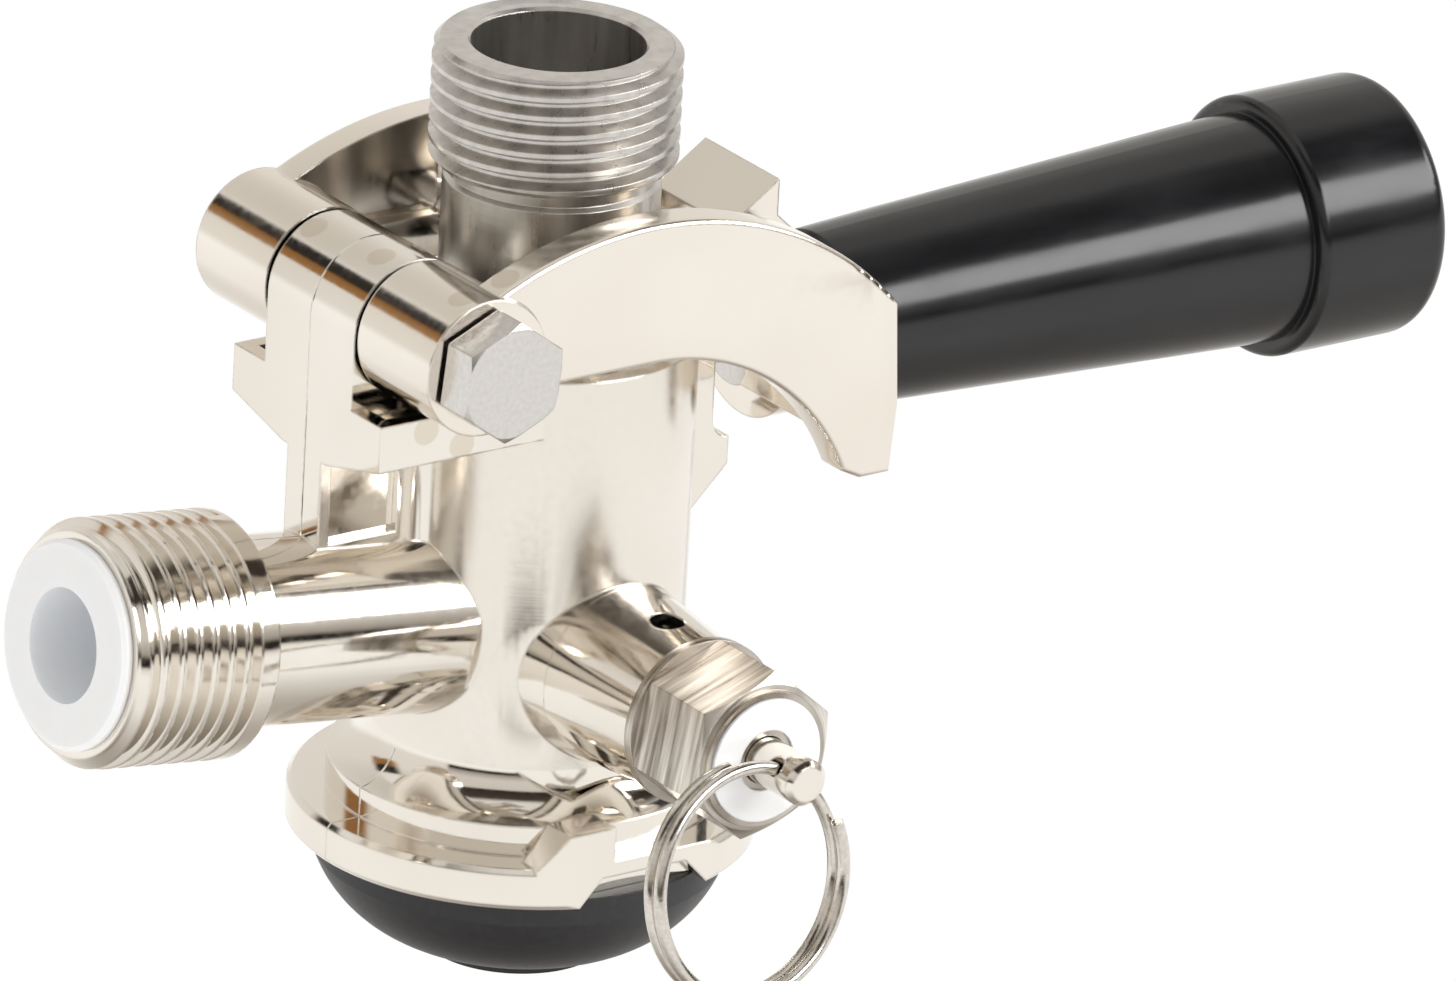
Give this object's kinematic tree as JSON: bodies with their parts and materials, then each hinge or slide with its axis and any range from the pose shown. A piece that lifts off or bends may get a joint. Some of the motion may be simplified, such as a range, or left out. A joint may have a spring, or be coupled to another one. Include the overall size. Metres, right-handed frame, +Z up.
{
  "type": "keg coupler",
  "caption": "Lever-operated keg coupler: threaded probe outlet, side gas inlet, pull-ring relief valve, forked lever with a grip and a rubber bottom seal.",
  "frame": {"origin": "centre of the bottom seal's foot ring, on the probe's axis", "axes": "+Z up along the probe, +X towards the handle, gas inlet and hinge towards -X, relief valve towards -Y"},
  "size_m": [0.1467, 0.0663, 0.0884],
  "materials": {
    "plated_brass": "bright nickel plating over cast brass, slightly warm",
    "plated_zinc": "satin nickel plating over a cast lever, slightly warm",
    "brushed_steel": "turned stainless steel with fine rings",
    "bolt_steel": "plain stainless steel",
    "ball_steel": "polished ball",
    "spring_wire": "drawn spring wire",
    "ring_wire": "bright plated wire",
    "black_rubber": "satin moulded rubber",
    "black_plastic": "glossy moulded plastic",
    "white_plastic": "plain moulded plastic",
    "white_label": "satin white disc",
    "clear_silicone": "cloudy translucent silicone, bluish"
  },
  "bodies": {
    "body": {"body_casting": "plated_brass", "bottom_seal": "black_rubber", "body_top_seal": "black_rubber", "gas_check_valve": "clear_silicone", "relief_cap": "plated_brass", "relief_label": "white_label", "relief_spring": "spring_wire"},
    "lever": {"lever_yoke": "plated_zinc", "hinge_bolt": "bolt_steel", "drive_pin_near": "bolt_steel", "drive_pin_far": "bolt_steel", "handle_spring": "spring_wire"},
    "handle": {"handle_rod": "bolt_steel", "handle_grip": "black_plastic"},
    "probe": {"probe": "brushed_steel", "probe_ring_seal": "black_rubber", "ball_retainer": "white_plastic"},
    "check_ball": {"check_ball": "ball_steel"},
    "relief_stem": {"relief_pull_pin": "plated_brass", "relief_poppet": "plated_brass", "relief_seal_disc": "black_rubber"},
    "pull_ring": {"split_ring": "ring_wire"}
  },
  "joints": [
    {"name": "lever_hinge", "type": "hinge", "parent": "body", "child": "lever", "pos_m": [-0.0195, 0, 0.0665], "axis": [0, 1, 0], "range_deg": [-24, 5]},
    {"name": "handle_pull", "type": "slide", "parent": "lever", "child": "handle", "axis": [1, 0, 0], "range_m": [0, 0.003], "stiffness_N_per_m": 1200, "springref_m": -0.002, "deforming": ["handle_spring"]},
    {"name": "probe_slide", "type": "slide", "parent": "body", "child": "probe", "axis": [0, 0, 1], "range_m": [-0.0018, 0.0082]},
    {"name": "check_ball_lift", "type": "slide", "parent": "probe", "child": "check_ball", "axis": [0, 0, 1], "range_m": [0, 0.0035]},
    {"name": "relief_pull", "type": "slide", "parent": "body", "child": "relief_stem", "axis": [0, -1, 0], "range_m": [0, 0.002], "stiffness_N_per_m": 3000, "springref_m": -0.002, "deforming": ["relief_spring"]},
    {"name": "ring_swing", "type": "hinge", "parent": "relief_stem", "child": "pull_ring", "pos_m": [0, -0.0415, 0.0315], "axis": [0.8387, 0, -0.5446], "range_deg": [-70, 20]}
  ],
  "couplings": [
    {"joint": "probe_slide", "follows": "lever_hinge", "m_per_rad": -0.0191}
  ]
}
